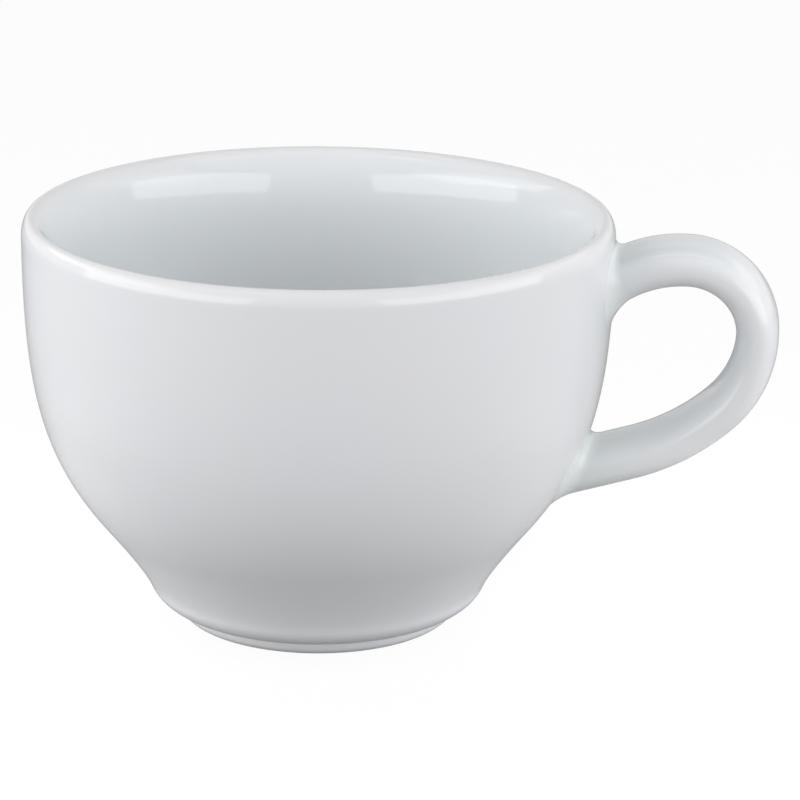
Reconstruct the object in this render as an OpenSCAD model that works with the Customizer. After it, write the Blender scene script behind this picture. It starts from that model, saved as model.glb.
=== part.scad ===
// Tea cup of white glazed porcelain: a turned bowl on a foot ring, with a cast handle
// that is luted to the wall by two joints of slip.
// The bowl's axis is Z, the table is at Z = 0 and the handle points along +X.

/* [Bowl] */
// Outside diameter at the rim
rim_d = 92; // [84:1:104]
// Height from the table to the lip
cup_h = 65; // [56:1:80]
// Width of the lip's outer rounding
lip_w = 1.5; // [1:0.1:2.4]
// Height of the lip's outer rounding
lip_h = 2.7; // [1.5:0.1:4]
// Depth below the lip at which the inside begins to flare
flare_h = 11; // [8:0.5:16]
// Length over which the lip runs into the flare
lip_pull = 1.6; // [0.8:0.1:2]
// Length over which the flare runs into the wall
flare_pull = 6; // [3:0.5:7]
// Wall thickness below the flare
wall_t = 5; // [3.8:0.1:7]
// Wall thickness at the taper
taper_t = 5.2; // [3.8:0.1:7]
// Thickness of the floor at its middle
floor_t = 5; // [3:0.1:8]
// Rise of the underside at its middle, inside the foot ring
base_rise = 0.8; // [0.2:0.1:2]
// Height of the upright band below the lip's rounding
band_h = 0.3; // [0.2:0.1:5]
// Length over which the wall leaves the band before it turns in
wall_pull = 23.5; // [14:0.5:30]
// Length over which the belly runs into the taper
belly_pull = 15; // [8:0.5:20]
// Length over which the inside leaves the taper before it turns to the floor
floor_pull = 8; // [4:0.5:12]
// Radius of the nearly flat middle of the floor
floor_r = 17; // [8:0.5:24]

/* [Waist and heel] */
// Outside diameter at the taper, where the belly ends and the waist begins
taper_d = 68.8; // [62:0.2:76]
// Height of the taper
taper_h = 16.5; // [13:0.5:22]
// Lean of the wall at the taper, in degrees from upright
taper_lean = 39.3; // [30:0.1:46]
// Length over which the waist leaves the taper
waist_pull = 6; // [3:0.1:8]
// Outside diameter at the top of the heel
heel_d = 53.6; // [50:0.2:60]
// Lean of the wall at the top of the heel, in degrees from upright
heel_lean = 21.7; // [12:0.1:32]
// Length over which the waist runs into the heel
heel_pull = 2.2; // [1:0.1:4]
// Radius of the rounded heel
heel_r = 5.3; // [3:0.1:7]

/* [Foot ring] */
// Outside diameter of the foot ring
foot_d = 44.6; // [38:0.2:48]
// Height of the foot ring
foot_h = 2.3; // [2.1:0.1:5]
// Radial width of the foot ring
foot_w = 4.6; // [3.6:0.1:8]
// Rounding of the foot ring's outer edge on the table
foot_edge_r = 2; // [0.5:0.1:2]
// Rounding of the foot ring's inner edge on the table
foot_inner_r = 0.8; // [0.3:0.1:1.4]

/* [Handle] */
// Reach of the handle's outer face beyond the rim
handle_reach = 25.6; // [20:0.2:36]
// Drop from the lip to the top of the handle
handle_drop = 1.8; // [0.8:0.1:8]
// Width of the handle across the fingers
handle_w = 13.5; // [9:0.5:18]
// Thickness of the handle at its outermost point
handle_t = 6.6; // [4.5:0.1:9]
// Thickness of the handle at its upper end
upper_t = 7.6; // [5:0.1:10]
// Thickness of the handle at its lower end
lower_t = 7.2; // [5:0.1:10]
// Squareness of the handle's oval section, where 2 is an ellipse
section_power = 2.4; // [2:0.1:3.2]
// Radius of the crown, along the middle of the handle
crown_r = 11.2; // [9:0.1:15]
// Turn of the crown, in degrees
crown_turn = 87.9; // [75:0.1:100]
// Radius of the upper arm, along the middle of the handle
upper_arm_r = 19.6; // [14:0.1:40]
// Turn of the upper arm, in degrees
upper_arm_turn = 36; // [20:0.5:45]
// Radius of the outer bend below the crown, along the middle of the handle
bend_r = 16.9; // [12:0.1:22]
// Turn of the outer bend, in degrees
bend_turn = 46.5; // [35:0.1:60]
// Radius of the lower arm, along the middle of the handle
lower_arm_r = 34; // [24:0.1:42]
// Turn of the lower arm, in degrees
lower_arm_turn = 27; // [20:0.5:48]

/* [Slip joints] */
// Thickness of the slip between the handle and the wall
slip_t = 0.6; // [0.3:0.05:1]
// Gap between the slip and the wall, which the fired glaze closes
slip_gap = 0.02; // [0.01:0.01:0.05]
// Fillet of the upper joint on its outer side
upper_outer_fillet_r = 1.6; // [1:0.1:4]
// Fillet of the upper joint on its finger side
upper_finger_fillet_r = 3; // [1:0.1:6]
// Fillet of the lower joint on its outer side
lower_outer_fillet_r = 2; // [1:0.1:5]
// Fillet of the lower joint on its finger side
lower_finger_fillet_r = 2.2; // [1:0.1:4]

/* [Hidden] */

// Colours of the glaze, of the glaze that pools at the joints, and of the bare foot
glaze_white = "#f0efec";
glaze_pool = "#dde5e3";
bare_clay = "#e6dfd3";

// Steps of the outlines and of the handle
lip_steps = 8;
flare_steps = 10;
belly_steps = 20;
waist_steps = 8;
heel_steps = 8;
floor_steps = 12;
edge_steps = 6;
section_sides = 36;
arm_rings = 19;
blend_rings = 2;
root_rings = 3;
pad_rings = 5;
cap_rings = 5;
round_fn = 96;

rim_r = rim_d / 2;
foot_out = foot_d / 2;
foot_in = foot_out - foot_w;
floor_z = foot_h + base_rise + floor_t;

// Shapes in the plane of the axis, as [distance from the axis, height]

// Unit vector that leans outwards from upright by an angle
function lean_way(a) = [sin(a), cos(a)];

// Point at share t of a cubic curve from a to d, pulled towards b and c
function curve(a, b, c, d, t) =
    pow(1 - t, 3) * a + 3 * t * pow(1 - t, 2) * b + 3 * t * t * (1 - t) * c + pow(t, 3) * d;

// Unit vector along that curve
function curve_way(a, b, c, d, t) =
    let (v = pow(1 - t, 2) * (b - a) + 2 * t * (1 - t) * (c - b) + t * t * (d - c))
    v / norm(v);

// Points on an arc about a centre
function arc(centre, r, from, to, steps) =
    [for (i = [0 : steps])
        let (a = from + (to - from) * i / steps)
        centre + r * [cos(a), sin(a)]];

heel_centre = [heel_d / 2 - heel_r * cos(heel_lean), foot_h + heel_r];
heel_top = heel_centre + heel_r * [cos(heel_lean), -sin(heel_lean)];
taper = [taper_d / 2, taper_h];
band_foot = [rim_r, cup_h - lip_h - band_h];
lip_foot = [rim_r, cup_h - lip_h];
lip_top = [rim_r - lip_w, cup_h];

// Guides of the waist's and the belly's curves, from the bottom up
waist = [
    heel_top,
    heel_top + heel_pull * lean_way(heel_lean),
    taper - waist_pull * lean_way(taper_lean),
    taper
];
belly = [
    taper,
    taper + belly_pull * lean_way(taper_lean),
    band_foot - [0, wall_pull],
    band_foot
];

function waist_at(t) = curve(waist[0], waist[1], waist[2], waist[3], t);
function belly_at(t) = curve(belly[0], belly[1], belly[2], belly[3], t);
function belly_way(t) = curve_way(belly[0], belly[1], belly[2], belly[3], t);

// Share of the belly's curve at which the flare inside the mouth begins
belly_table = [for (i = [0 : belly_steps]) [belly_at(i / belly_steps).y, i / belly_steps]];
flare_share = lookup(cup_h - flare_h, belly_table);

// Inner face of the wall between the taper and the flare
function inner_at(t) =
    let (w = belly_way(t))
    belly_at(t) - (taper_t + (wall_t - taper_t) * t / flare_share) * [w.y, -w.x];

inner_taper = inner_at(0);
flare_foot = inner_at(flare_share);

function flare_at(t) =
    curve(
        lip_top,
        lip_top - [lip_pull, 0],
        flare_foot + flare_pull * belly_way(flare_share),
        flare_foot,
        t
    );

function floor_at(t) =
    curve(
        inner_taper,
        inner_taper - floor_pull * lean_way(taper_lean),
        [floor_r, floor_z],
        [0, floor_z],
        t
    );

// Outer face of the bowl from the heel's underside up to the lip
outer_wall = concat(
    arc(heel_centre, heel_r, -90, -heel_lean, heel_steps),
    [for (i = [1 : waist_steps]) waist_at(i / waist_steps)],
    [for (i = [1 : belly_steps]) belly_at(i / belly_steps)],
    [lip_foot]
);

// Rounding of the lip from its foot to its top
lip = [for (i = [1 : lip_steps])
    let (a = 90 * i / lip_steps)
    [lip_top.x + lip_w * cos(a), lip_foot.y + lip_h * sin(a)]];

underside = [for (i = [0 : edge_steps])
    let (share = i / edge_steps)
    [foot_in * share, foot_h + base_rise * (1 - share * share)]];

bowl_outline = concat(
    underside,
    outer_wall,
    lip,
    [for (i = [1 : flare_steps]) flare_at(i / flare_steps)],
    [for (i = [1 : belly_steps]) inner_at(flare_share * (1 - i / belly_steps))],
    [for (i = [1 : floor_steps]) floor_at(i / floor_steps)]
);

foot_outline = concat(
    [[foot_in, foot_h], [foot_out, foot_h]],
    arc([foot_out - foot_edge_r, foot_edge_r], foot_edge_r, 0, -90, edge_steps),
    arc([foot_in + foot_inner_r, foot_inner_r], foot_inner_r, -90, -180, edge_steps)
);

// The wall as the handle meets it

wall_table = [for (p = concat(outer_wall, lip)) [p.y, p.x]];
lean_probe = 0.05;

function wall_r(z) = lookup(z, wall_table);
function wall_lean(z) = atan((wall_r(z + lean_probe) - wall_r(z - lean_probe)) / (2 * lean_probe));

// Distance of a point from the wall's outer face
function clearance(p) = (norm([p.x, p.y]) - wall_r(p.z)) * cos(wall_lean(p.z));

// Unit vector straight out of the wall beside a point
function wall_way(p) =
    let (a = wall_lean(p.z), r = norm([p.x, p.y]))
    [p.x / r * cos(a), p.y / r * cos(a), -sin(a)];

// The point moved straight to or from the wall until its distance is d
function seat(p, d) = p - (clearance(p) - d) * wall_way(p);

// The handle: two limbs that start at its outermost point, k = 1 upwards and k = -1 downwards

// Each limb's first radius and turn, second radius and turn, end thickness, outer and finger fillets
upper_limb = [
    crown_r, crown_turn, upper_arm_r, upper_arm_turn, upper_t, upper_outer_fillet_r, upper_finger_fillet_r
];
lower_limb = [
    bend_r, bend_turn, lower_arm_r, lower_arm_turn, lower_t, lower_outer_fillet_r, lower_finger_fillet_r
];

outermost = [
    rim_r + handle_reach - handle_t / 2,
    cup_h - handle_drop - crown_r - (handle_t + upper_t) / 4
];

function limb(k) = k > 0 ? upper_limb : lower_limb;
function arc_length(r, turn) = r * turn * PI / 180;
function limb_length(k) = let (m = limb(k)) arc_length(m[0], m[1]) + arc_length(m[2], m[3]);
function reach_limit(k) = limb_length(k) + handle_reach;

// Place and turn of a limb's middle line at length s, before it is set at the outermost point
function limb_at(k, s) =
    let (
        m = limb(k),
        first = arc_length(m[0], m[1]),
        whole = limb_length(k),
        a = s <= first ? s / m[0] * 180 / PI : m[1] + (min(s, whole) - first) / m[2] * 180 / PI,
        knee = m[0] * [cos(m[1]) - 1, sin(m[1])],
        on_arc = s <= first
            ? m[0] * [cos(a) - 1, sin(a)]
            : knee + m[2] * [cos(a) - cos(m[1]), sin(a) - sin(m[1])]
    )
    [on_arc + max(0, s - whole) * [-sin(a), cos(a)], a];

function thickness_at(k, s) = handle_t + (limb(k)[4] - handle_t) * min(1, s / limb_length(k));

function rounded(v, power) = sign(v) * pow(abs(v), power);

// Point on a limb's skin at length s and angle th round the section, whose size is shared by c
function skin(k, s, th, c) =
    let (
        q = limb_at(k, s),
        across = c * handle_w / 2 * rounded(cos(th), 2 / section_power),
        out = c * thickness_at(k, s) / 2 * rounded(sin(th), 2 / section_power)
    )
    [
        outermost.x + q[0].x + out * cos(q[1]),
        across,
        outermost.y + k * (q[0].y + out * sin(q[1]))
    ];

// Vector straight out of the skin there
function skin_way(k, s, th) =
    let (
        a = limb_at(k, s)[1],
        across = rounded(cos(th), 2 - 2 / section_power) / handle_w,
        out = rounded(sin(th), 2 - 2 / section_power) / thickness_at(k, s)
    )
    [out * cos(a), across, k * out * sin(a)];

// Length along a limb at which its skin is at distance d from the wall, found by halving
halvings = 18;
function settle(k, th, c, d, low, high, left) =
    let (middle = (low + high) / 2)
    left == 0
        ? middle
        : clearance(skin(k, middle, th, c)) > d
            ? settle(k, th, c, d, middle, high, left - 1)
            : settle(k, th, c, d, low, middle, left - 1);
function length_to(k, th, c, d) = settle(k, th, c, d, 0, reach_limit(k), halvings);

function fillet_at(k, th) =
    let (m = limb(k))
    (m[5] + m[6]) / 2 + (m[5] - m[6]) / 2 * sin(th);

// Point of a joint at distance d from the wall: the skin there, spread along the wall by the fillet
function root_point(k, th, c, d) =
    let (
        f = fillet_at(k, th),
        s = length_to(k, th, c, d),
        p = skin(k, s, th, c),
        v = skin_way(k, s, th),
        w = wall_way(p),
        m = v - (v * w) * w,
        tilt = asin(1 - d / f)
    )
    seat(p + c * f * (1 - cos(tilt)) * m / norm(m), d);

// Angle on the fillet at which its distance from the wall is d
function tilt_at(k, th, d) = asin(1 - d / fillet_at(k, th));

angles = [for (j = [0 : section_sides - 1]) 360 * j / section_sides];

// Ring of a joint at a share of the way between two distances from the wall
function root_ring(k, from, to, share) =
    [for (th = angles)
        let (
            f = fillet_at(k, th),
            start = from > f ? 0 : tilt_at(k, th, from),
            tilt = start + (tilt_at(k, th, to) - start) * share
        )
        root_point(k, th, 1, f * (1 - sin(tilt)))];

function cap_ring(k, d, c) = [for (th = angles) root_point(k, th, c, d)];

// Length of a limb that its joint's fillets stay clear of
function arm_length(k) = let (m = limb(k)) length_to(k, 0, 0, max(m[5], m[6]) + m[4] / 2);

// Rings of one half of the handle, from its outermost point to its end on the slip
function limb_rings(k) =
    let (free = arm_length(k))
    concat(
        [for (i = [1 : arm_rings]) [for (th = angles) skin(k, free * i / arm_rings, th, 1)]],
        [for (i = [1 : blend_rings])
            [for (th = angles)
                let (end = length_to(k, th, 1, fillet_at(k, th)))
                skin(k, free + (end - free) * i / (blend_rings + 1), th, 1)]],
        [for (i = [0 : root_rings]) root_ring(k, limb_length(k), slip_t, i / root_rings)],
        [for (i = [1 : cap_rings]) cap_ring(k, slip_t, 1 - i / (cap_rings + 1))]
    );

// Rings of the slip under one end of the handle, over its face on the handle, then its face on the wall
function pad_loops(k) = concat(
    [for (i = [1 : cap_rings]) cap_ring(k, slip_t, i / (cap_rings + 1))],
    [for (i = [0 : pad_rings]) root_ring(k, slip_t, slip_gap, i / pad_rings)],
    [for (i = [1 : cap_rings]) cap_ring(k, slip_gap, 1 - i / (cap_rings + 1))]
);

function reversed(v) = [for (i = [len(v) - 1 : -1 : 0]) v[i]];

// Closed skin over a row of rings, drawn in to a point at each end
module skinned(first, rings, last) {
    n = section_sides;
    count = len(rings);
    points = concat([first], [for (r = rings) for (p = r) p], [last]);
    start_fan = [for (j = [0 : n - 1]) [0, 1 + j, 1 + (j + 1) % n]];
    sides = [for (i = [0 : count - 2]) for (j = [0 : n - 1])
        let (
            a = 1 + i * n + j,
            b = 1 + i * n + (j + 1) % n
        )
        each [[a, a + n, b], [b, a + n, b + n]]];
    end_fan = [for (j = [0 : n - 1])
        let (base = 1 + (count - 1) * n)
        [base + (j + 1) % n, base + j, len(points) - 1]];
    polyhedron(points, concat(start_fan, sides, end_fan), convexity = 8);
}

module slip_pad(k) {
    skinned(root_point(k, 0, 0, slip_t), pad_loops(k), root_point(k, 0, 0, slip_gap));
}

module bowl() {
    color(glaze_white)
        rotate_extrude($fn = round_fn)
            polygon(bowl_outline);
}

module foot_ring() {
    color(bare_clay)
        rotate_extrude($fn = round_fn)
            polygon(foot_outline);
}

module handle() {
    outermost_ring = [for (th = angles) skin(1, 0, th, 1)];
    rings = concat(reversed(limb_rings(1)), [outermost_ring], limb_rings(-1));
    color(glaze_white)
        skinned(root_point(1, 0, 0, slip_t), rings, root_point(-1, 0, 0, slip_t));
}

module upper_slip_joint() {
    color(glaze_pool)
        slip_pad(1);
}

module lower_slip_joint() {
    color(glaze_pool)
        slip_pad(-1);
}

bowl();
foot_ring();
handle();
upper_slip_joint();
lower_slip_joint();
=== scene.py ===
from math import asin, atan, cos, pi, radians, sin

import bmesh
import bpy
from mathutils import Matrix, Vector


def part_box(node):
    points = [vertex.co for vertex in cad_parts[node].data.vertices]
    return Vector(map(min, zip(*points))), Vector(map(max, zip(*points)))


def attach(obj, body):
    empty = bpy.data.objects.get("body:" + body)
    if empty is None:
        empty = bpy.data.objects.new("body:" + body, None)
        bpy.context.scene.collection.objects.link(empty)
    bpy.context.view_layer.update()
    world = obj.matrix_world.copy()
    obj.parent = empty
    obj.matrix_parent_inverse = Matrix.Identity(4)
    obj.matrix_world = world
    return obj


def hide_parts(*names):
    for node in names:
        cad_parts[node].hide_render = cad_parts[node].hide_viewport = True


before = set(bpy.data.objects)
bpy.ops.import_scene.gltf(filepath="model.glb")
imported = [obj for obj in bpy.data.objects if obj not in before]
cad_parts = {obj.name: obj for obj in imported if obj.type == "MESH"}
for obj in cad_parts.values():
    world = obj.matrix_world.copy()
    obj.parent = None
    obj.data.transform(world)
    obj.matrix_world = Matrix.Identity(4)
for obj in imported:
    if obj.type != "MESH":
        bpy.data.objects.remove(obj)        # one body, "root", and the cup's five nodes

scene = bpy.context.scene
scene.view_settings.view_transform = "Standard"
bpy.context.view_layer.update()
bowlLow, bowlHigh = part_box("bowl")
footLow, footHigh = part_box("foot_ring")
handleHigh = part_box("handle")[1]
print("frame loaded:", sorted(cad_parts))


# Camera

cameraSetup = {
    "target": Vector((0, 0, 0.030)),
    "distance": 0.56416,
    "azimuth": radians(7.32),
    "elevation": radians(17.832),
    "lens": 160.86,
    "sensor": 36,
    "clipStart": 0.01,
    "pan": -0.02281,       # the cup stands left of the middle, because the handle is on the right
    "tilt": 0.0079,
    "roll": -0.00326,
}


def wayFrom(azimuth, elevation):
    return Vector((sin(azimuth) * cos(elevation), -cos(azimuth) * cos(elevation), sin(elevation)))


def addToScene(name, data):
    item = bpy.data.objects.new(name, data)
    scene.collection.objects.link(item)
    return item


def addCamera(setup):
    back = wayFrom(setup["azimuth"], setup["elevation"])
    forward = -back
    right = forward.cross(Vector((0, 0, 1))).normalized()
    up = right.cross(forward)
    turn = Matrix.Rotation(setup["pan"], 3, up)
    forward, right = turn @ forward, turn @ right
    turn = Matrix.Rotation(setup["tilt"], 3, right)
    forward, up = turn @ forward, turn @ up
    turn = Matrix.Rotation(setup["roll"], 3, forward)
    right, up = turn @ right, turn @ up
    data = bpy.data.cameras.new("camera")
    data.lens = setup["lens"]
    data.sensor_width = setup["sensor"]
    data.clip_start = setup["clipStart"]
    camera = addToScene("camera", data)
    place = Matrix((right, up, -forward)).transposed().to_4x4()
    place.translation = setup["target"] + back * setup["distance"]
    camera.matrix_world = place
    scene.camera = camera


addCamera(cameraSetup)
print("camera placed")


# Outlines, as points of distance from the axis and height

def leanWay(angle):
    return Vector((sin(angle), cos(angle)))


def curvePoint(guides, t):
    a, b, c, d = guides
    return (1 - t) ** 3 * a + 3 * t * (1 - t) ** 2 * b + 3 * t * t * (1 - t) * c + t ** 3 * d


def curveWay(guides, t):
    a, b, c, d = guides
    return ((1 - t) ** 2 * (b - a) + 2 * t * (1 - t) * (c - b) + t * t * (d - c)).normalized()


def curvePoints(guides, steps):
    return [curvePoint(guides, i / steps) for i in range(1, steps + 1)]      # without its first point


def arcPoints(centre, radius, start, end, steps):
    turns = [start + (end - start) * i / steps for i in range(steps + 1)]
    return [centre + radius * Vector((cos(a), sin(a))) for a in turns]


def narrow(low, high, halvings, isShort):
    for halving in range(halvings):
        middle = (low + high) / 2
        if isShort(middle):
            low = middle
        else:
            high = middle
    return low, high


# Bowl and foot ring

# a pull is how far a curve's guide point stands from its end, and a lean is an angle from upright
bowlShape = {
    "rimRadius": -bowlLow.x,
    "height": bowlHigh.z,
    "lipWidth": 0.0015,        # outer rounding of the lip
    "lipHeight": 0.0027,
    "lipPull": 0.0016,
    "flareDepth": 0.011,       # the mouth flares inside, below the lip
    "flarePull": 0.006,
    "wallThickness": 0.005,
    "taperThickness": 0.0052,
    "floorThickness": 0.005,
    "baseRise": 0.0008,
    "bandHeight": 0.0003,
    "wallPull": 0.0235,
    "bellyPull": 0.015,
    "floorPull": 0.008,
    "floorRadius": 0.017,
    "taperRadius": 0.0344,
    "taperHeight": 0.0165,
    "taperLean": radians(39.3),
    "waistPull": 0.006,
    "heelRadius": 0.0268,
    "heelLean": radians(21.7),
    "heelPull": 0.0022,
    "heelRounding": 0.0053,
    "lipSteps": 14,
    "flareSteps": 24,
    "wallSteps": 40,
    "waistSteps": 16,
    "heelSteps": 16,
    "floorSteps": 24,
    "baseSteps": 10,
    "turns": 320,
    "halvings": 30,
    "mergeDistance": 1e-6,
}

footShape = {
    "outerRadius": -footLow.x,
    "height": footHigh.z,
    "width": 0.0046,
    "edgeRounding": 0.002,
    "innerRounding": 0.0008,
    "edgeSteps": 10,
}


def outerWallPoints(shape):
    lean, heelLean = shape["taperLean"], shape["heelLean"]
    rounding = shape["heelRounding"]
    heelCentre = Vector((shape["heelRadius"] - rounding * cos(heelLean), footShape["height"] + rounding))
    heelTop = heelCentre + rounding * Vector((cos(heelLean), -sin(heelLean)))
    taper = Vector((shape["taperRadius"], shape["taperHeight"]))
    lipFoot = Vector((shape["rimRadius"], shape["height"] - shape["lipHeight"]))
    bandFoot = lipFoot - Vector((0, shape["bandHeight"]))
    waist = [
        heelTop,
        heelTop + shape["heelPull"] * leanWay(heelLean),
        taper - shape["waistPull"] * leanWay(lean),
        taper,
    ]
    belly = [
        taper,
        taper + shape["bellyPull"] * leanWay(lean),
        bandFoot - Vector((0, shape["wallPull"])),
        bandFoot,
    ]
    points = arcPoints(heelCentre, rounding, -pi / 2, -heelLean, shape["heelSteps"])
    points += curvePoints(waist, shape["waistSteps"])
    points += curvePoints(belly, shape["wallSteps"])
    for i in range(shape["lipSteps"] + 1):
        a = pi / 2 * i / shape["lipSteps"]
        points.append(lipFoot + Vector((shape["lipWidth"] * (cos(a) - 1), shape["lipHeight"] * sin(a))))
    return points, belly


def bowlOutline(shape):
    outer, belly = outerWallPoints(shape)
    steps = shape["wallSteps"]
    flareHeight = shape["height"] - shape["flareDepth"]
    top = narrow(0, 1, shape["halvings"], lambda t: curvePoint(belly, t).y < flareHeight)[0]
    inner = []
    for i in range(steps + 1):
        share = 1 - i / steps
        way = curveWay(belly, top * share)
        wall = shape["taperThickness"] + (shape["wallThickness"] - shape["taperThickness"]) * share
        inner.append(curvePoint(belly, top * share) - wall * Vector((way.y, -way.x)))
    flare = [
        outer[-1],
        outer[-1] - Vector((shape["lipPull"], 0)),
        inner[0] + shape["flarePull"] * curveWay(belly, top),
        inner[0],
    ]
    floorHeight = footShape["height"] + shape["baseRise"] + shape["floorThickness"]
    bottom = [
        inner[-1],
        inner[-1] - shape["floorPull"] * leanWay(shape["taperLean"]),
        Vector((shape["floorRadius"], floorHeight)),
        Vector((0, floorHeight)),
    ]
    recess = footShape["outerRadius"] - footShape["width"]
    base = []
    for i in range(shape["baseSteps"] + 1):
        share = i / shape["baseSteps"]
        base.append(Vector((recess * share, footShape["height"] + shape["baseRise"] * (1 - share ** 2))))
    mouth = curvePoints(flare, shape["flareSteps"])[:-1]
    return base + outer + mouth + inner + curvePoints(bottom, shape["floorSteps"])


def footOutline(shape):
    outer, inner = shape["outerRadius"], shape["outerRadius"] - shape["width"]
    edge, hollow = shape["edgeRounding"], shape["innerRounding"]
    points = [Vector((inner, shape["height"])), Vector((outer, shape["height"]))]
    points += arcPoints(Vector((outer - edge, edge)), edge, 0, -pi / 2, shape["edgeSteps"])
    points += arcPoints(Vector((inner + hollow, hollow)), hollow, -pi / 2, -pi, shape["edgeSteps"])
    return points + points[:1]


# painted shade: how far a face looks up or towards the axis, which sets its cooler, darker tint
def shadeFacing(place, normal):
    upShare = 0.8      # facing up counts less than facing the axis
    outwards = Vector((place.x, place.y, 0))
    if outwards.length > 0:
        outwards.normalize()
    return normal.z * upShare - normal.dot(outwards)


def finishPiece(name, shape, normalLayer=None):
    for face in shape.faces:
        face.smooth = True
    data = bpy.data.meshes.new(name)
    shape.to_mesh(data)
    shape.free()
    if normalLayer:
        values = [tuple(item.vector) for item in data.attributes[normalLayer].data]
        data.normals_split_custom_set_from_vertices(values)
    # painted shade: the colour is cooler and darker where the piece faces up or inwards
    thickness = data.attributes.new("paintedShadeFacing", "FLOAT", "POINT")
    thickness.data.foreach_set("value", [shadeFacing(v.co, v.normal) for v in data.vertices])
    piece = addToScene(name, data)
    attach(piece, "root")
    return piece


def turnOutline(name, outline):
    turned = bmesh.new()
    verts = [turned.verts.new((p.x, 0, p.y)) for p in outline]
    pairs = [(a, b) for a, b in zip(verts, verts[1:]) if (a.co - b.co).length > 0]
    edges = [turned.edges.new(pair) for pair in pairs]
    bmesh.ops.spin(
        turned, geom=verts + edges, cent=(0, 0, 0), axis=(0, 0, 1), dvec=(0, 0, 0),
        angle=2 * pi, steps=bowlShape["turns"], use_merge=True, use_duplicate=False,
    )
    bmesh.ops.remove_doubles(turned, verts=turned.verts, dist=bowlShape["mergeDistance"])
    bmesh.ops.recalc_face_normals(turned, faces=turned.faces)
    return finishPiece(name, turned)


bowl = turnOutline("porcelainBowl", bowlOutline(bowlShape))
footRing = turnOutline("porcelainFootRing", footOutline(footShape))
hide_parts("bowl")
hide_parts("foot_ring")
print("bowl and foot ring turned")


# Handle and the slip that joins it to the wall

# each limb runs from the handle's outermost point to the wall in two arcs
handleShape = {
    "width": 0.0135,
    "thickness": 0.0066,       # at its outermost point
    "drop": 0.0018,            # of its top below the rim
    "squareness": 2.4,         # of its section, 2 is an ellipse
    "upper": {
        "rise": 1,
        "firstRadius": 0.0112, "firstTurn": radians(87.9),
        "secondRadius": 0.0196, "secondTurn": radians(36),
        "endThickness": 0.0076,
        "outerFillet": 0.0016, "fingerFillet": 0.0030,
    },
    "lower": {
        "rise": -1,
        "firstRadius": 0.0169, "firstTurn": radians(46.5),
        "secondRadius": 0.0340, "secondTurn": radians(27),
        "endThickness": 0.0072,
        "outerFillet": 0.0020, "fingerFillet": 0.0022,
    },
    "slipThickness": 0.0006,
    "sunk": 0.00005,           # depth of the slip in the wall
    "sides": 72,
    "armRings": 40,
    "blendRings": 6,
    "rootRings": 8,
    "slipRings": 12,
    "capRings": 4,
    "halvings": 26,
    "mergeDistance": 1e-7,
}

upperLimb, lowerLimb = handleShape["upper"], handleShape["lower"]
# half the upper limb's mean thickness
crownHalf = (handleShape["thickness"] + upperLimb["endThickness"]) / 4
outermost = Vector((
    handleHigh.x - handleShape["thickness"] / 2,
    bowlShape["height"] - handleShape["drop"] - upperLimb["firstRadius"] - crownHalf,
))
outerWall = outerWallPoints(bowlShape)[0]


def wallAt(z):
    low, high = 0, len(outerWall) - 1
    while high - low > 1:
        middle = (low + high) // 2
        if outerWall[middle].y > z:
            high = middle
        else:
            low = middle
    a, b = outerWall[low], outerWall[high]
    share = (z - a.y) / (b.y - a.y)
    return a.x + (b.x - a.x) * share


def wallLean(z):
    probe = 0.0004
    return atan((wallAt(z + probe) - wallAt(z - probe)) / (2 * probe))


def clearance(p):
    return (p.xy.length - wallAt(p.z)) * cos(wallLean(p.z))


def wallNormal(p):
    lean, r = wallLean(p.z), p.xy.length
    return Vector((p.x / r * cos(lean), p.y / r * cos(lean), -sin(lean)))


def seat(p, distance):
    return p - (clearance(p) - distance) * wallNormal(p)


def limbLength(limb):
    return limb["firstRadius"] * limb["firstTurn"] + limb["secondRadius"] * limb["secondTurn"]


def limbPlace(limb, s):
    r1, t1, r2 = limb["firstRadius"], limb["firstTurn"], limb["secondRadius"]
    first, whole = r1 * t1, limbLength(limb)
    if s <= first:
        a = s / r1
        return Vector((cos(a) - 1, sin(a))) * r1, a
    a = t1 + (min(s, whole) - first) / r2
    knee = Vector((cos(t1) - 1, sin(t1))) * r1
    place = knee + Vector((cos(a) - cos(t1), sin(a) - sin(t1))) * r2
    return place + max(0, s - whole) * Vector((-sin(a), cos(a))), a


def limbThickness(limb, s):
    share = min(1, s / limbLength(limb))
    return handleShape["thickness"] + (limb["endThickness"] - handleShape["thickness"]) * share


def rounded(v, power):
    return (1 if v > 0 else -1) * abs(v) ** power


def skinPoint(limb, s, th, share=1):
    place, a = limbPlace(limb, s)
    power = 2 / handleShape["squareness"]
    across = share * handleShape["width"] / 2 * rounded(cos(th), power)
    out = share * limbThickness(limb, s) / 2 * rounded(sin(th), power)
    x, z = place.x + out * cos(a), place.y + out * sin(a)
    return Vector((outermost.x + x, across, outermost.y + limb["rise"] * z))


def skinNormal(limb, s, th):
    a = limbPlace(limb, s)[1]
    power = 2 - 2 / handleShape["squareness"]
    across = rounded(cos(th), power) / handleShape["width"]
    out = rounded(sin(th), power) / limbThickness(limb, s)
    return Vector((out * cos(a), across, limb["rise"] * out * sin(a)))


def lengthTo(limb, th, share, distance):
    reach = limbLength(limb) + handleHigh.x - bowlHigh.x
    low, high = narrow(
        0, reach, handleShape["halvings"],
        lambda s: clearance(skinPoint(limb, s, th, share)) > distance,
    )
    return (low + high) / 2


def filletAt(limb, th):
    outer, finger = limb["outerFillet"], limb["fingerFillet"]
    return (outer + finger) / 2 + (outer - finger) / 2 * sin(th)


def tiltAt(limb, th, distance):
    return asin(min(1, 1 - distance / filletAt(limb, th)))


def rootPoint(limb, th, share, distance):
    fillet = filletAt(limb, th)
    s = lengthTo(limb, th, share, distance)
    p = skinPoint(limb, s, th, share)
    v, w = skinNormal(limb, s, th), wallNormal(p)
    along = (v - v.dot(w) * w).normalized()
    spread = share * fillet * (1 - cos(tiltAt(limb, th, distance)))
    return seat(p + spread * along, distance)


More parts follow.
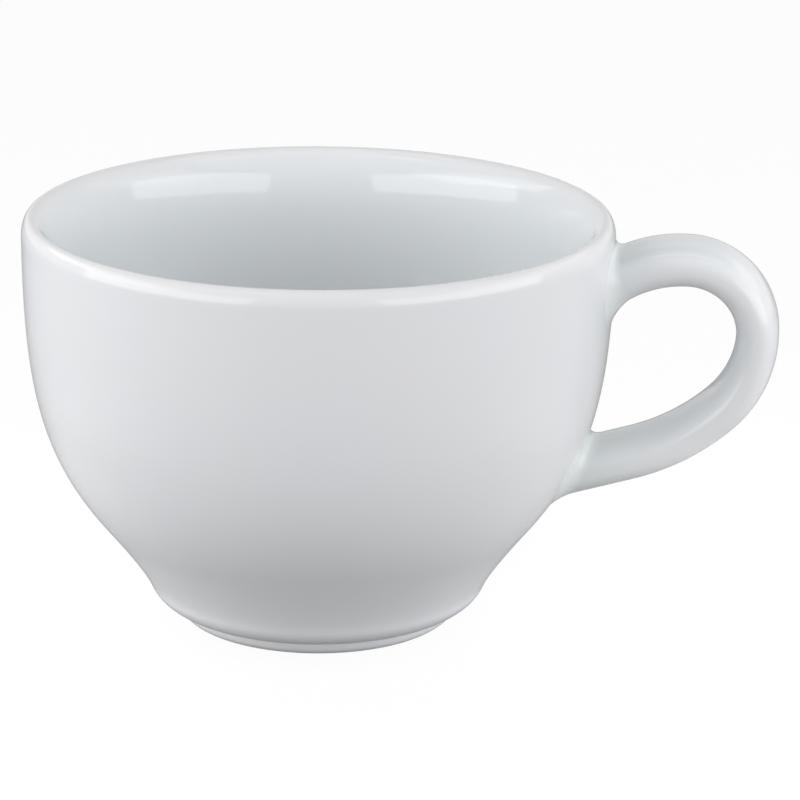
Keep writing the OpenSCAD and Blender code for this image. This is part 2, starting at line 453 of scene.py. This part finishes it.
sectionAngles = [2 * pi * j / handleShape["sides"] for j in range(handleShape["sides"])]


def rootRing(limb, start, end, share):
    ring = []
    for th in sectionAngles:
        first = 0 if start is None else tiltAt(limb, th, start)
        tilt = first + (tiltAt(limb, th, end) - first) * share
        ring.append(rootPoint(limb, th, 1, filletAt(limb, th) * (1 - sin(tilt))))
    return ring


def limbRings(limb):
    shape = handleShape
    clear = max(limb["outerFillet"], limb["fingerFillet"]) + limb["endThickness"] / 2
    free = lengthTo(limb, 0, 0, clear)
    rings = []
    for i in range(1, shape["armRings"] + 1):
        rings.append([skinPoint(limb, free * i / shape["armRings"], th) for th in sectionAngles])
    ends = [lengthTo(limb, th, 1, filletAt(limb, th)) for th in sectionAngles]
    for i in range(1, shape["blendRings"] + 1):
        share = i / (shape["blendRings"] + 1)
        places = [free + (end - free) * share for end in ends]
        rings.append([skinPoint(limb, s, th) for s, th in zip(places, sectionAngles)])
    for i in range(shape["rootRings"] + 1):
        rings.append(rootRing(limb, None, shape["slipThickness"], i / shape["rootRings"]))
    return rings


def slipRings(limb):
    count = handleShape["slipRings"]
    return [rootRing(limb, handleShape["slipThickness"], 0, i / count) for i in range(count + 1)]


def capRings(limb, distance):
    count = handleShape["capRings"]
    shares = [1 - i / count for i in range(1, count + 1)]
    return [[rootPoint(limb, th, share, distance) for th in sectionAngles] for share in shares]


def gridNormals(rings):
    normals = []
    sides, last = len(rings[0]), len(rings) - 1
    for i, ring in enumerate(rings):
        before, after = rings[max(0, i - 1)], rings[min(last, i + 1)]
        row = []
        for j in range(sides):
            around = ring[(j + 1) % sides] - ring[j - 1]
            row.append(around.cross(after[j] - before[j]).normalized())
        normals.append(row)
    return normals


def orderedLoop(grown, loop):
    fresh = {v for v in grown["geom"] if isinstance(v, bmesh.types.BMVert)}
    ordered = []
    for old in loop:
        ordered.append(next(e.other_vert(old) for e in old.link_edges if e.other_vert(old) in fresh))
    return ordered


def loopEdges(loop):
    edges = []
    for a, b in zip(loop, loop[1:] + loop[:1]):
        edges.append(next(e for e in a.link_edges if e.other_vert(a) is b))
    return edges


def drawSleeve(name, startCaps, rings, normals, endCaps):
    shape = bmesh.new()
    layer = shape.verts.layers.float_vector.new("smoothNormal")
    rows = startCaps[::-1] + rings + endCaps
    smooth = [None] * len(startCaps) + normals + [None] * len(endCaps)
    loop = bmesh.ops.create_circle(shape, segments=handleShape["sides"], radius=1)["verts"]
    for i, row in enumerate(rows):
        if i > 0:
            loop = orderedLoop(bmesh.ops.extrude_edge_only(shape, edges=loopEdges(loop)), loop)
        for j, v in enumerate(loop):
            v.co = row[j]
            if smooth[i]:
                v[layer] = smooth[i][j]
    bmesh.ops.remove_doubles(shape, verts=shape.verts, dist=handleShape["mergeDistance"])
    bmesh.ops.recalc_face_normals(shape, faces=shape.faces)
    return finishPiece(name, shape, "smoothNormal")


upperSlip, lowerSlip = slipRings(upperLimb), slipRings(lowerLimb)
middleRing = [skinPoint(upperLimb, 0, th) for th in sectionAngles]
handleRings = limbRings(upperLimb)[::-1] + [middleRing] + limbRings(lowerLimb)

# the normals are worked out over slip, handle and slip together, so that no seam shows where they meet
whole = upperSlip[:0:-1] + handleRings + lowerSlip[1:]
wholeNormals = gridNormals(whole)
for end in (0, -1):
    wholeNormals[end] = [wallNormal(p) for p in whole[end]]

slipCount, slipTop, slipFoot = handleShape["slipRings"], handleShape["slipThickness"], -handleShape["sunk"]
handle = drawSleeve(
    "castHandle", capRings(upperLimb, slipTop), handleRings,
    wholeNormals[slipCount:-slipCount], capRings(lowerLimb, slipTop),
)
upperJoint = drawSleeve(
    "upperSlipFillet", capRings(upperLimb, slipFoot), whole[:slipCount + 1],
    wholeNormals[:slipCount + 1], capRings(upperLimb, slipTop),
)
lowerJoint = drawSleeve(
    "lowerSlipFillet", capRings(lowerLimb, slipTop), whole[-slipCount - 1:],
    wholeNormals[-slipCount - 1:], capRings(lowerLimb, slipFoot),
)
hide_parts("handle")
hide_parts("upper_slip_joint")
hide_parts("lower_slip_joint")
print("handle and slip joints drawn")


# Materials

glazeFinish = {
    "white": (0.824, 0.820, 0.831, 1),
    "cool": (0.812, 0.820, 0.837, 1),       # slow drift of the glaze's tone
    "driftScale": 38,
    "driftRange": (0.35, 0.65),
    "shadeTint": (0.791, 0.812, 0.827, 1),      # painted shade, on faces that look up or inwards
    "shadeRange": (-0.2, 0.6),
    "thin": (0.812, 0.804, 0.808, 1),       # over the lip, where the glaze runs thin
    "thinDepths": (0.0026, 0.0004),         # below the rim, where that starts and where it is full
    "speck": (0.42, 0.40, 0.38, 1),
    "speckScale": 170,
    "speckChoice": (0.90, 0.93),            # few cells hold a speck
    "speckSize": (0.012, 0.026),
    "speckShare": 0.35,
    "roughness": (0.035, 0.06),
    "roughScale": 90,
    "roughRange": (0.3, 0.7),
    "waver": 0.00002,                       # depth of the slow waves, with a fine ripple on them
    "waverScale": 55,
    "rippleScale": 420,
    "rippleShare": 0.05,
    "ior": 1.44,
}

poolFinish = {
    "tone": (0.785, 0.820, 0.818, 1),       # at the joints, where the glaze runs thick
    "upperPlace": (0.0455, 0, 0.0545), "upperStretch": (1.4, 0.8, 0.8),
    "lowerPlace": (0.0415, 0, 0.0270), "lowerStretch": (0.9, 0.8, 1),
    "reach": (0.004, 0.013),
    "share": 0.8,
}

footFinish = {
    "tone": (0.80, 0.77, 0.72, 1),          # the foot's bare, ground resting face
    "roughness": 0.55,
    "edgeHeights": (0.00012, 0.00022),
    "edgeWaver": 0.0002,
    "edgeScale": 900,
}

mixSockets = {"first": 6, "second": 7, "result": 2}      # a Mix node's sockets for colours


def addNode(tree, kind, **settings):
    node = tree.nodes.new("ShaderNode" + kind)
    for key, value in settings.items():
        setattr(node, key, value)
    return node


def feed(tree, socket, source):
    if hasattr(source, "is_output"):
        tree.links.new(source, socket)
    else:
        socket.default_value = source


def mathNode(tree, operation, a, b):
    node = addNode(tree, "Math", operation=operation)
    feed(tree, node.inputs[0], a)
    feed(tree, node.inputs[1], b)
    return node.outputs["Value"]


def stepNode(tree, value, low, high, lowTo=0.0, highTo=1.0):
    node = addNode(tree, "MapRange", interpolation_type="SMOOTHSTEP")
    for socket, source in zip(node.inputs, (value, low, high, lowTo, highTo)):
        feed(tree, socket, source)
    return node.outputs["Result"]


def noiseNode(tree, coords, scale, detail=2.0):
    node = addNode(tree, "TexNoise")
    feed(tree, node.inputs["Vector"], coords)
    node.inputs["Scale"].default_value = scale
    node.inputs["Detail"].default_value = detail
    return node.outputs["Fac"]


def mixColour(tree, share, a, b):
    node = addNode(tree, "Mix", data_type="RGBA")
    feed(tree, node.inputs["Factor"], share)
    feed(tree, node.inputs[mixSockets["first"]], a)
    feed(tree, node.inputs[mixSockets["second"]], b)
    return node.outputs[mixSockets["result"]]


def splitNode(tree, coords):
    node = addNode(tree, "SeparateXYZ")
    feed(tree, node.inputs[0], coords)
    return node.outputs


def distanceNode(tree, coords, point, stretch):
    offset = addNode(tree, "VectorMath", operation="SUBTRACT")
    feed(tree, offset.inputs[0], coords)
    offset.inputs[1].default_value = point
    scaled = addNode(tree, "VectorMath", operation="MULTIPLY")
    feed(tree, scaled.inputs[0], offset.outputs["Vector"])
    scaled.inputs[1].default_value = stretch
    length = addNode(tree, "VectorMath", operation="LENGTH")
    feed(tree, length.inputs[0], scaled.outputs["Vector"])
    return length.outputs["Value"]


def newGroup(name, outputs):
    group = bpy.data.node_groups.new(name, "ShaderNodeTree")
    for label, kind in outputs:
        group.interface.new_socket(label, in_out="OUTPUT", socket_type="NodeSocket" + kind)
    coords = addNode(group, "TexCoord").outputs["Object"]
    return group, coords, group.nodes.new("NodeGroupOutput")


def pinSpecks(tree, coords, finish):
    cells = addNode(tree, "TexVoronoi", feature="F1")
    feed(tree, cells.inputs["Vector"], coords)
    cells.inputs["Scale"].default_value = finish["speckScale"]
    cells.inputs["Randomness"].default_value = 1
    chosen = addNode(tree, "SeparateColor")
    feed(tree, chosen.inputs[0], cells.outputs["Color"])
    rare = stepNode(tree, chosen.outputs[0], *finish["speckChoice"])
    near = stepNode(tree, cells.outputs["Distance"], *finish["speckSize"], 1.0, 0.0)
    return mathNode(tree, "MULTIPLY", mathNode(tree, "MULTIPLY", rare, near), finish["speckShare"])


def glazeTone(finish):
    outputs = [("Colour", "Color"), ("Roughness", "Float"), ("Height", "Float")]
    group, coords, output = newGroup("glazeTone", outputs)
    drift = stepNode(group, noiseNode(group, coords, finish["driftScale"]), *finish["driftRange"])
    colour = mixColour(group, drift, finish["white"], finish["cool"])
    # painted shade: a cooler, darker tint where faces look up or inwards
    thickness = addNode(group, "Attribute", attribute_name="paintedShadeFacing").outputs["Fac"]
    colour = mixColour(group, stepNode(group, thickness, *finish["shadeRange"]), colour, finish["shadeTint"])
    lipHeights = [bowlShape["height"] - depth for depth in finish["thinDepths"]]
    lip = stepNode(group, splitNode(group, coords)["Z"], *lipHeights)
    colour = mixColour(group, lip, colour, finish["thin"])
    colour = mixColour(group, pinSpecks(group, coords, finish), colour, finish["speck"])
    feed(group, output.inputs["Colour"], colour)
    roughNoise = noiseNode(group, coords, finish["roughScale"])
    rough = stepNode(group, roughNoise, *finish["roughRange"], *finish["roughness"])
    feed(group, output.inputs["Roughness"], rough)
    slow = noiseNode(group, coords, finish["waverScale"], detail=1)
    ripple = noiseNode(group, coords, finish["rippleScale"], detail=1)
    fine = mathNode(group, "MULTIPLY", ripple, finish["rippleShare"])
    feed(group, output.inputs["Height"], mathNode(group, "ADD", slow, fine))
    return group


def jointPool(finish):
    group, coords, output = newGroup("jointPool", [("Mask", "Float")])
    upper = distanceNode(group, coords, finish["upperPlace"], finish["upperStretch"])
    lower = distanceNode(group, coords, finish["lowerPlace"], finish["lowerStretch"])
    nearest = mathNode(group, "MINIMUM", upper, lower)
    feed(group, output.inputs["Mask"], stepNode(group, nearest, *finish["reach"], finish["share"], 0.0))
    return group


def footBare(finish):
    group, coords, output = newGroup("footBare", [("Mask", "Float")])
    edgeNoise = noiseNode(group, coords, finish["edgeScale"])
    edge = mathNode(group, "MULTIPLY", edgeNoise, finish["edgeWaver"])
    level = mathNode(group, "SUBTRACT", splitNode(group, coords)["Z"], edge)
    feed(group, output.inputs["Mask"], stepNode(group, level, *finish["edgeHeights"], 1.0, 0.0))
    return group


def glazeMaterial(name, tone, pool, bare=None):
    material = bpy.data.materials.new(name)
    material.use_nodes = True
    tree = material.node_tree
    shader = tree.nodes["Principled BSDF"]
    toneNode = addNode(tree, "Group", node_tree=tone)
    poolNode = addNode(tree, "Group", node_tree=pool)
    colour = mixColour(tree, poolNode.outputs["Mask"], toneNode.outputs["Colour"], poolFinish["tone"])
    rough = toneNode.outputs["Roughness"]
    if bare:
        mask = addNode(tree, "Group", node_tree=bare).outputs["Mask"]
        colour = mixColour(tree, mask, colour, footFinish["tone"])
        rough = mathNode(tree, "MAXIMUM", rough, mathNode(tree, "MULTIPLY", mask, footFinish["roughness"]))
    bump = addNode(tree, "Bump")
    bump.inputs["Distance"].default_value = glazeFinish["waver"]
    feed(tree, bump.inputs["Height"], toneNode.outputs["Height"])
    feed(tree, shader.inputs["Normal"], bump.outputs["Normal"])
    feed(tree, shader.inputs["Base Color"], colour)
    feed(tree, shader.inputs["Roughness"], rough)
    shader.inputs["IOR"].default_value = glazeFinish["ior"]
    return material


toneGroup = glazeTone(glazeFinish)
poolGroup = jointPool(poolFinish)
bareGroup = footBare(footFinish)
bowl.data.materials.append(glazeMaterial("bowlGlaze", toneGroup, poolGroup))
handle.data.materials.append(glazeMaterial("handleGlaze", toneGroup, poolGroup))
footRing.data.materials.append(glazeMaterial("footGlaze", toneGroup, poolGroup, bareGroup))
slipGlaze = glazeMaterial("slipGlaze", toneGroup, poolGroup)
for piece in (upperJoint, lowerJoint):
    piece.data.materials.append(slipGlaze)
print("materials set")


# Studio

studio = {
    "floorSize": 3.0,
    "floorDrop": 0.00002,
    "floorPale": (0.95, 0.95, 0.95, 1),       # as the camera sees it
    "floorBounce": (0.20, 0.20, 0.20, 1),     # as it lights the cup from below
    "shadowShare": 0.06,                      # of its shading in the white that the camera sees
    "mirrorShare": 0.22,                      # how white it is in the glaze's reflections
    "skyLevel": 0.70,
    "skyFade": (0.64, 0.84),                  # heights between which the sky fades to dark
    "skyBack": 0.15,                          # how much brighter it is behind the cup
    "lampDistance": 0.8,                      # of the soft boxes and strips from the camera's target
    "boxColour": (0.97, 0.984, 1.0),
    "stripColour": (0.94, 0.975, 1.0),
}

# azimuths are in degrees from the camera, and a level is a lamp's brightness, whatever its size
softBoxes = [
    {"name": "leftSoftBox", "azimuth": -60.75, "elevation": 11.5, "size": (1.15, 0.38), "level": 2.42},
    {"name": "rightSoftBox", "azimuth": 56.65, "elevation": 11.5, "size": (1.05, 0.38), "level": 2.52},
]

strips = [
    {"name": "frontStrip", "azimuth": 0, "elevation": 63, "size": (1.20, 0.05), "level": 4.2},
    {"name": "backStrip", "azimuth": 0, "elevation": 89, "size": (1.20, 0.05), "level": 4.8},
]

floorWashes = [
    {"name": "leftNearWash", "across": -0.100, "height": 0.034, "size": (0.06, 0.10), "level": 4.0},
    {"name": "rightNearWash", "across": 0.105, "height": 0.034, "size": (0.06, 0.10), "level": 5.2},
    {"name": "leftWash", "across": -0.25, "height": 0.16, "size": (0.18, 0.30), "level": 1.9},
    {"name": "rightWash", "across": 0.25, "height": 0.16, "size": (0.18, 0.30), "level": 0.9},
]


def addFloor():
    plane = bmesh.new()
    bmesh.ops.create_grid(plane, x_segments=1, y_segments=1, size=studio["floorSize"] / 2)
    bmesh.ops.translate(plane, verts=plane.verts, vec=(0, 0, -studio["floorDrop"]))
    data = bpy.data.meshes.new("studioFloor")
    plane.to_mesh(data)
    plane.free()
    piece = addToScene("studioFloor", data)
    material = bpy.data.materials.new("paleFloor")
    material.use_nodes = True
    tree = material.node_tree
    tree.nodes.clear()
    path = addNode(tree, "LightPath")
    seen = path.outputs["Is Camera Ray"]
    mirrored = mathNode(tree, "MULTIPLY", path.outputs["Is Glossy Ray"], studio["mirrorShare"])
    diffuse = addNode(tree, "BsdfDiffuse")
    feed(tree, diffuse.inputs["Color"], mixColour(tree, seen, studio["floorBounce"], studio["floorPale"]))
    white = addNode(tree, "Emission")
    mix = addNode(tree, "MixShader")
    shown = mathNode(tree, "MULTIPLY", seen, 1 - studio["shadowShare"])
    feed(tree, mix.inputs["Fac"], mathNode(tree, "MAXIMUM", shown, mirrored))
    feed(tree, mix.inputs[1], diffuse.outputs["BSDF"])
    feed(tree, mix.inputs[2], white.outputs["Emission"])
    output = addNode(tree, "OutputMaterial")
    feed(tree, output.inputs["Surface"], mix.outputs["Shader"])
    data.materials.append(material)


def addWorld():
    world = bpy.data.worlds.new("studioWorld")
    scene.world = world
    world.use_nodes = True
    tree = world.node_tree
    background = tree.nodes["Background"]
    background.inputs["Color"].default_value = (1, 1, 1, 1)
    way = splitNode(tree, addNode(tree, "TexCoord").outputs["Generated"])
    height = stepNode(tree, way["Z"], *studio["skyFade"], studio["skyLevel"], 0.0)
    behind = mathNode(tree, "ADD", mathNode(tree, "MULTIPLY", way["Y"], studio["skyBack"]), 1.0)
    sky = mathNode(tree, "MULTIPLY", height, behind)
    seen = addNode(tree, "LightPath").outputs["Is Camera Ray"]
    feed(tree, background.inputs["Strength"], mathNode(tree, "MAXIMUM", sky, seen))


def addLamp(box, colour, place, turn):
    data = bpy.data.lights.new(box["name"], "AREA")
    data.shape = "RECTANGLE"
    data.size, data.size_y = box["size"]
    data.energy = box["level"] * pi * data.size * data.size_y
    data.color = colour
    lamp = addToScene(box["name"], data)
    lamp.location = place
    lamp.rotation_euler = turn
    lamp.visible_camera = False


def addSoftBox(box, colour):
    way = wayFrom(radians(box["azimuth"]) + cameraSetup["azimuth"], radians(box["elevation"]))
    place = cameraSetup["target"] + way * studio["lampDistance"]
    addLamp(box, colour, place, way.to_track_quat("Z", "Y").to_euler())


def addWash(box):
    a = cameraSetup["azimuth"]
    place = Vector((cos(a) * box["across"], sin(a) * box["across"], box["height"]))
    addLamp(box, studio["boxColour"], place, (0, 0, a))


addFloor()
addWorld()
for box in softBoxes:
    addSoftBox(box, studio["boxColour"])
for box in strips:
    addSoftBox(box, studio["stripColour"])
for box in floorWashes:
    addWash(box)
print("studio set")
